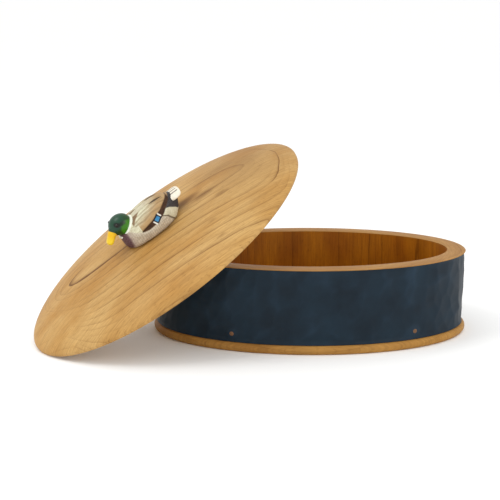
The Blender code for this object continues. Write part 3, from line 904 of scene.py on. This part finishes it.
colour = blend_colours(tree, zone(tree, "rump", 0.5), colour, rump_colour)
colour = blend_colours(tree, zone(tree, "bars", 0.35), colour, "#E2DED2")
window = add_node(tree, "Attribute", attribute_name="window")
window_edge = add_node(
    tree, "MapRange", [(window.outputs["Fac"], 0)], in_1=-1.3, in_2=-0.8, in_3=0, in_4=0.95
)
colour = blend_colours(tree, window_edge.outputs[0], colour, "#0E1218")
blue = blend_colours(tree, stroke_share.outputs[0], "#2C6E9E", "#4A93BF")
colour = blend_colours(tree, zone(tree, "window", 0.35), colour, blue)
tree.links.new(colour, shader.inputs["Base Color"])
bump = add_node(tree, "Bump", [(stroke.outputs[0], "Height")], in_Strength=0.4, in_Distance=0.0002)
tree.links.new(bump.outputs[0], shader.inputs["Normal"])
print("paint:", plumage.name, len(tree.nodes), "nodes")

# %% [markdown]
# ## Body with carved wings
# The folded wing is tucked under the flank feathers, so a carver cuts a groove where the dark band runs
# and leaves the flank standing proud of it. A bump in the paint would look carved only from the front, so
# the grooves are cut in the mesh. The zones that guide the brush guide the knife too: each point moves in
# or out along its normal by what its zone asks for.


# %% Body
def carve_depth(zones, co):
    """How far a point of the body moves out, in millimetres. A groove is negative."""
    groove = -0.9 * smoothly(zones["wing"], -0.8, 1.2)
    lip = 0.7 * smoothly(zones["flank"], -0.2, 1.0) * (1 - smoothly(zones["flank"], 2, 7))
    lip *= smoothly(-co.x, -18, -8)
    back = 0.35 * smoothly(zones["tan"], -4, 5) * (1 - smoothly(zones["wing"], -1, 0.3))
    streak = -0.5 * smoothly(zones["streak"], -0.6, 0.8)
    feather = -0.35 * smoothly(zones["feather"], -0.7, 0.4)
    vent = -0.35 * smoothly(-abs(zones["hind"]), -1.2, 0)
    return groove + lip + back + streak + feather + vent


BODY_RINGS = 150
bm = bmesh.new()
loft(bm, [slice_ring(bm, *smooth_between(BODY_SLICES, i / BODY_RINGS)) for i in range(BODY_RINGS + 1)])
bmesh.ops.recalc_face_normals(bm, faces=bm.faces)
bm.normal_update()
layers = {name: bm.verts.layers.float.new(name) for name in body_zones(FLANK_SPOT)}
moves = []
for v in bm.verts:
    zones = body_zones(v.co)
    for name, distance in zones.items():
        v[layers[name]] = distance
    moves.append((v, v.normal * carve_depth(zones, v.co)))
for v, move in moves:
    v.co += move
cut_flat(bm, DUCK_FLOOR)
make_piece("drake_body", bm, [plumage], "lid", ["duck_body"], LEAN, sharp=60)

# %% [markdown]
# ## Head
# The head is one rounded block: a ball, two cheeks, a root for the bill, and a neck that leans forward out
# of the breast. A subdivided cage could give it, but its swellings are easier to place as balls. Balls that
# overlap are fused with a remesh at 0.4 mm and then smoothed, which is how a carved and sanded head looks:
# no seam, but soft swellings.


# %% Head
HEAD_AT = Vector((-24, 0, 49.5))
HEAD_TURN = Matrix.Rotation(math.radians(9.5), 4, "Z")
NECK_AT = Vector((-20.2, 0, 43.5))
NECK_LEAN = Vector((-0.5, 0, 0.866)).to_track_quat("Z", "Y").to_matrix().to_4x4()
HEAD_VOXEL = 0.42
SANDING_ROUNDS = 12


def add_ball(bm, at, radii):
    """A ball with its own radius along each axis."""
    shape = Matrix.Translation(at) @ Matrix.Diagonal((*radii, 1))
    bmesh.ops.create_uvsphere(bm, u_segments=48, v_segments=32, radius=1, matrix=shape)


def fuse(name, bm, voxel, rounds):
    """Fuses overlapping closed shapes into one smooth skin, and gives it back as a bmesh."""
    mesh = bpy.data.meshes.new(name)
    bm.to_mesh(mesh)
    bm.free()
    rough = bpy.data.objects.new(name, mesh)
    scene.collection.objects.link(rough)
    remesh = rough.modifiers.new("fuse", "REMESH")
    remesh.mode = "VOXEL"
    remesh.voxel_size = voxel
    sanding = rough.modifiers.new("sand", "SMOOTH")
    sanding.iterations = rounds
    sanding.factor = 0.5
    fused = bmesh.new()
    fused.from_object(rough, bpy.context.evaluated_depsgraph_get())
    bpy.data.objects.remove(rough)
    return fused


bm = bmesh.new()
head_place = Matrix.Translation(HEAD_AT) @ HEAD_TURN
add_ball(bm, head_place @ Vector((0.9, 0, -0.4)), (11.1, 9.6, 9.5))
for side in (-1, 1):
    add_ball(bm, head_place @ Vector((1.0, side * 3.6, -2.6)), (7.2, 6.2, 6.4))
add_ball(bm, head_place @ Vector((-5.5, 0, -0.6)), (6.0, 5.4, 5.2))
bmesh.ops.create_cone(
    bm, cap_ends=True, segments=48, radius1=9.9, radius2=8.4, depth=9,
    matrix=Matrix.Translation(NECK_AT + Vector((-1.4, 0, 2.4))) @ NECK_LEAN,
)
head = fuse("head_block", bm, HEAD_VOXEL, SANDING_ROUNDS)
print("head block", len(head.faces), "faces")

# %% [markdown]
# A mallard's head is bottle green with a sheen that turns teal on the crown and leaf green on the cheek.
# Carvers get it with acrylic under a thin satin varnish, so the shader has a weak coat for the soft
# highlights. The sheen itself is painted, by zones again, because it must stay put as the lid turns. So
# are the shade in the crease behind the eye and the shadow round the eye.


# %% Head paint
CHEEK_SPOT = Vector((3.2, -4.2))  # along and up from the head's centre, as seen from its side
EYE_SPOT = Vector((-3.9, 4.0))


def head_zones(co):
    """The distance inside each zone of the head, in millimetres, by the zone's name."""
    spot = head_place.inverted() @ co
    cheek_reach = (Vector((spot.x, spot.z)) - CHEEK_SPOT).length
    eye_reach = (Vector((spot.x, spot.z)) - EYE_SPOT).length
    return {
        "cheek": 7.0 - cheek_reach + 0.8 * noise.noise(co / 2.5),
        "crown": spot.z * 0.8 - spot.x * 0.55 - 1.6 + 1.2 * noise.noise(co / 4),
        # Painted shade along a crease that runs back from the eye
        "crease_shade": 1.6 - abs((spot.z - 3.4) + (spot.x + 4) * 0.14) - max(0, abs(spot.x + 0.4) - 3.4),
        # Painted shadow in the hollow round the eye
        "eye_socket_shade": 2.3 - eye_reach - max(0, 4 - abs(spot.y)),
    }


layers = {name: head.verts.layers.float.new(name) for name in head_zones(HEAD_AT)}
for v in head.verts:
    for name, distance in head_zones(v.co).items():
        v[layers[name]] = distance
head_paint, tree, shader = new_material("bottle_green_acrylic", 0.38, Specular_IOR_Level=0.3)
shader.inputs["Coat Weight"].default_value = 0.1
shader.inputs["Coat Roughness"].default_value = 0.2
place = add_node(tree, "TexCoord")
# Dabs of the brush, 2.4 mm across
dab = add_node(tree, "TexNoise", [(place.outputs["Object"], 0)], in_Scale=420, in_Detail=3)
dab_share = add_node(tree, "MapRange", [(dab.outputs[0], 0)], in_1=0.35, in_2=0.65, in_3=0, in_4=1)
colour = blend_colours(tree, dab_share.outputs[0], "#10330E", "#1A4516")
colour = blend_colours(tree, zone(tree, "crown", 3, 0.85), colour, "#16402E")
colour = blend_colours(tree, zone(tree, "cheek", 1.4, 0.9), colour, "#377A0C")
# A near-black band back from the eye: painted shade in the crease
colour = blend_colours(tree, zone(tree, "crease_shade", 1.0, 0.8), colour, "#0A1408")
# Painted shadow round the eye bead
colour = blend_colours(tree, zone(tree, "eye_socket_shade", 0.6, 0.9), colour, "#0A1008")
tree.links.new(colour, shader.inputs["Base Color"])
bump = add_node(tree, "Bump", [(dab.outputs[0], "Height")], in_Strength=0.3, in_Distance=0.0002)
tree.links.new(bump.outputs[0], shader.inputs["Normal"])
make_piece("drake_head", head, [head_paint], "lid", ["duck_head"], LEAN, sharp=80)

# %% [markdown]
# ## Collar
# The collar is a thin white band at the foot of the neck. Carvers leave it as a raised bead and paint it.
# A torus would be round in section. This stack of flat rings gives a bead that is lower than it is wide.


# %% Collar
def flat_ring(bm, radius, z):
    """A ring round the neck, which is a little narrower than it is deep."""
    ring = bmesh.ops.create_circle(bm, segments=96, radius=1)["verts"]
    for v in ring:
        v.co = (v.co.x * radius * 0.93, v.co.y * radius, z)
    return ring


# White acrylic over a warm ground: it is never pure white, and the brush leaves it cloudy
collar_paint, tree, shader = new_material("white_acrylic", 0.5)
place = add_node(tree, "TexCoord")
dab = add_node(tree, "TexNoise", [(place.outputs["Object"], 0)], in_Scale=500, in_Detail=2)
colour = blend_colours(tree, dab.outputs[0], "#F2F3E6", "#D8DCC8")
tree.links.new(colour, shader.inputs["Base Color"])
bm = bmesh.new()
COLLAR = ((9.0, -1.4), (11.0, -1.2), (11.6, -0.4), (11.6, 0.5), (11.0, 1.1), (9.3, 1.6))  # radius, height
loft(bm, [flat_ring(bm, radius, z) for radius, z in COLLAR])
bm.transform(Matrix.Translation(NECK_AT) @ NECK_LEAN)
make_piece("drake_collar", bm, [collar_paint], "lid", (), LEAN)

# %% [markdown]
# ## Bill
# The bill is broad and flat, yellow with a warm root, and has a dark nail at its tip. It is a loft
# through a few slices, like the body, but here each slice is a plain ellipse square to the bill's aim.
# Yellow acrylic keeps a satin gloss. Thin coats at the root let the warm ground through.

# %% Bill
BILL_SLICES = (  # forward, height, half width, half thickness, from the head's centre
    (-6.0, -1.0, 3.6, 4.0),
    (-9.5, -2.4, 4.4, 4.2),
    (-12.0, -4.0, 4.6, 3.5),
    (-14.4, -5.9, 5.0, 3.1),
    (-16.4, -7.4, 5.0, 2.7),
    (-17.8, -8.5, 3.8, 1.9),
    (-18.4, -9.0, 1.2, 0.6),
)
BILL_AIM = Vector((-0.74, 0, -0.67))
bill_turn = Vector((0, 1, 0)).cross(BILL_AIM).normalized()


def bill_ring(bm, forward, height, half_width, half_thickness):
    """A slice of the bill, in the head's own frame."""
    ring = bmesh.ops.create_circle(bm, segments=48, radius=1)["verts"]
    for v in ring:
        v.co = Vector((forward, half_width * v.co.x, height)) + bill_turn * half_thickness * v.co.y
    return ring


BILL_RINGS = 36
BILL_MIDDLE = 13.5
bm = bmesh.new()
loft(bm, [bill_ring(bm, *smooth_between(BILL_SLICES, i / BILL_RINGS)) for i in range(BILL_RINGS + 1)])
bm.transform(head_place)
layer = bm.verts.layers.float.new("root")  # how far past the bill's middle, towards its tip
for v in bm.verts:
    v[layer] = (v.co - HEAD_AT - BILL_AIM * BILL_MIDDLE).dot(BILL_AIM)
bill_paint, tree, shader = new_material("yellow_acrylic", 0.45, Specular_IOR_Level=0.25)
warm = add_node(tree, "Attribute", attribute_name="root")
warm_share = add_node(tree, "MapRange", [(warm.outputs["Fac"], 0)], in_1=1.5, in_2=-2.5, in_3=0, in_4=0.6)
nail_share = add_node(tree, "MapRange", [(warm.outputs["Fac"], 0)], in_1=4.6, in_2=6.4, in_3=0, in_4=0.55)
colour = blend_colours(tree, warm_share.outputs[0], "#E4C022", "#DFA60F")
colour = blend_colours(tree, nail_share.outputs[0], colour, "#8A6A1E")
tree.links.new(colour, shader.inputs["Base Color"])
make_piece("drake_bill", bm, [bill_paint], "lid", (), LEAN)

# %% [markdown]
# ## Tail
# The tail is a flat white fan with three thin dark quills on it. It could be part of the body's loft, but
# a fan is wider than the rump that it grows from. So it is a loft of its own, sunk into the body, whose
# slices droop at their sides. The quills are cut in the mesh, and the same distance paints them. The
# white is the collar's, over a warmer ground.

# %% Tail
TAIL_SLICES = (  # along, half width, lowest, highest
    (21.7, 6.5, 36.2, 42.6),
    (26.7, 9.0, 37.1, 43.6),
    (31.7, 10.4, 37.7, 43.6),
    (36.1, 10.2, 38.7, 43.4),
    (38.6, 8.2, 39.7, 43.2),
    (39.8, 3.5, 40.7, 42.9),
)
QUILLS_AT = (-4.2, -0.4, 4.2)
QUILL_ENDS = (30, 37.5)
TAIL_RINGS = 40


def tail_ring(bm, along, half_width, low, high):
    """A slice of the tail: a thin ellipse that droops at its sides."""
    ring = bmesh.ops.create_circle(bm, segments=72, radius=1)["verts"]
    for v in ring:
        y = half_width * v.co.x
        v.co = (along, y, (low + high) / 2 + (high - low) / 2 * v.co.y - 0.012 * y * y)
    return ring


bm = bmesh.new()
loft(bm, [tail_ring(bm, *smooth_between(TAIL_SLICES, i / TAIL_RINGS)) for i in range(TAIL_RINGS + 1)])
layer = bm.verts.layers.float.new("quill")
for v in bm.verts:
    past_ends = max(0, QUILL_ENDS[0] - v.co.x) + max(0, v.co.x - QUILL_ENDS[1])
    v[layer] = min(abs(v.co.y - across) for across in QUILLS_AT) + past_ends
    v.co.z -= 0.35 * max(0, 1 - v[layer] / 1.2)
tail_paint, tree, shader = new_material("white_tail_acrylic", 0.5)
quill = add_node(tree, "Attribute", attribute_name="quill")
quill_share = add_node(tree, "MapRange", [(quill.outputs["Fac"], 0)], in_1=0.95, in_2=0.35, in_3=0, in_4=0.95)
place = add_node(tree, "TexCoord")
dab = add_node(tree, "TexNoise", [(place.outputs["Object"], 0)], in_Scale=350, in_Detail=2)
colour = blend_colours(tree, dab.outputs[0], "#F2EBDB", "#D2C8B2")
colour = blend_colours(tree, quill_share.outputs[0], colour, "#3E3426")
tree.links.new(colour, shader.inputs["Base Color"])
make_piece("drake_tail", bm, [tail_paint], "lid", (), LEAN)

# %% [markdown]
# ## Eyes
# Carvers buy glass eyes as two beads on one wire and cut it to the head's width. Two balls and a cylinder
# would need joining. One profile, spun round the wire, makes both beads and the wire in one skin: half a
# circle that starts at the wire, and its mirror. The glass is nearly black, with brown smoke in it.

# %% Eyes
EYES_AT = Vector((-28, 0, 53.5))
BEAD = 1.35
BEAD_AT = 7.3
WIRE = 0.6
ARC_STEPS = 20
eye_glass, tree, shader = new_material("black_glass", 0.06, IOR=1.52)
place = add_node(tree, "TexCoord")
# Clouds of 1.4 mm in the glass, and a breath of haze on it
smoke = add_node(tree, "TexNoise", [(place.outputs["Object"], 0)], in_Scale=700, in_Detail=2)
colour = blend_colours(tree, smoke.outputs[0], "#0C0A09", "#22180F")
tree.links.new(colour, shader.inputs["Base Color"])
haze = add_node(tree, "MapRange", [(smoke.outputs[0], 0)], in_1=0.3, in_2=0.7, in_3=0.04, in_4=0.12)
tree.links.new(haze.outputs[0], shader.inputs["Roughness"])
bm = bmesh.new()
start = math.asin(WIRE / BEAD)
arc = [start + (math.pi - start) * i / ARC_STEPS for i in range(ARC_STEPS + 1)]
half_profile = [Vector((max(0, BEAD * math.sin(a)), BEAD_AT - BEAD * math.cos(a), 0)) for a in arc]
profile = [Vector((p.x, -p.y, 0)) for p in reversed(half_profile)] + half_profile
corners = [bm.verts.new(p) for p in profile]
edges = [bm.edges.new(pair) for pair in zip(corners, corners[1:])]
bmesh.ops.spin(bm, geom=edges, cent=(0, 0, 0), axis=(0, 1, 0), angle=math.tau, steps=40, use_merge=True)
bmesh.ops.remove_doubles(bm, verts=bm.verts, dist=1e-4)
bm.transform(Matrix.Translation(EYES_AT) @ HEAD_TURN)
make_piece("glass_eyes", bm, [eye_glass], "eyes", ["duck_eyes"], LEAN)

# %% [markdown]
# ## What holds the drake on
# Two brass screws come up through the lid into the drake's body. A pan-head screw is turned from one
# profile: domed on top, flat under its head, then a straight shank and a point. The slot is sawn
# afterwards, with a Boolean. A real thread would hide in the wood, so the shank stays plain.
# Turned brass is bright where it is new and browns in patches, so its colour is mottled.

# %% Brass screws
SCREW_PROFILE = (  # radius, height
    (0, 1.5), (2.2, 1.55), (3.1, 1.9), (3.5, 2.6), (3.5, 3.4), (3.3, 3.7), (1.6, 3.7), (1.6, 31.5), (0, 34)
)
SLOT = Matrix.Translation((0, 0, 1.7)) @ Matrix.Diagonal((9, 0.9, 1.6, 1))
brass, tree, shader = new_material("turned_brass", 0.3, Metallic=1.0)
place = add_node(tree, "TexCoord")
# Patches of tarnish, 4 mm wide
tarnish = add_node(tree, "TexNoise", [(place.outputs["Object"], 0)], in_Scale=250, in_Detail=3)
colour = blend_colours(tree, tarnish.outputs[0], "#C9A24E", "#9C7A3A")
tree.links.new(colour, shader.inputs["Base Color"])
for along, node in zip(SCREWS_AT, ("duck_screw_front", "duck_screw_rear")):
    bm = bmesh.new()
    corners = [bm.verts.new((radius, 0, z)) for radius, z in SCREW_PROFILE]
    edges = [bm.edges.new(pair) for pair in zip(corners, corners[1:])]
    bmesh.ops.spin(bm, geom=edges, cent=(0, 0, 0), axis=(0, 0, 1), angle=math.tau, steps=40, use_merge=True)
    bmesh.ops.remove_doubles(bm, verts=bm.verts, dist=1e-4)
    slot = bmesh.new()
    bmesh.ops.create_cube(slot, size=1, matrix=SLOT)
    bm = cut_away(bm, slot)
    bm.transform(Matrix.Translation((along, 0, 0)))
    make_piece(node + "_turned", bm, [brass], "lid", [node], LEAN)

# %% [markdown]
# A birch dowel joins the head to the body, and hides inside them. Like the pegs it is a cylinder with its
# edges beveled. Birch is a pale wood with hardly any year lines, so it takes the wood finish with a low
# line share.

# %% Neck dowel
DOWEL_AT = (-21.5, 0, 42)
DOWEL_RADIUS = 2
DOWEL_LENGTH = 14
birch = wood_finish("turned_birch", "#DCC296", "#CDB080", "#A08458", 0.4)
bm = bmesh.new()
bmesh.ops.create_cone(
    bm, cap_ends=True, segments=32, radius1=DOWEL_RADIUS, radius2=DOWEL_RADIUS, depth=DOWEL_LENGTH
)
ends = [e for e in bm.edges if abs(e.verts[0].co.z - e.verts[1].co.z) < 0.1]
bmesh.ops.bevel(bm, geom=ends, offset=0.5, segments=3, profile=0.5, affect="EDGES", material=-1)
set_grain(bm, lambda co: Vector((co.z, co.x, co.x / 2)))
bm.transform(Matrix.Translation(DOWEL_AT))
make_piece("neck_dowel_turned", bm, [birch], "lid", ["neck_dowel"], LEAN)
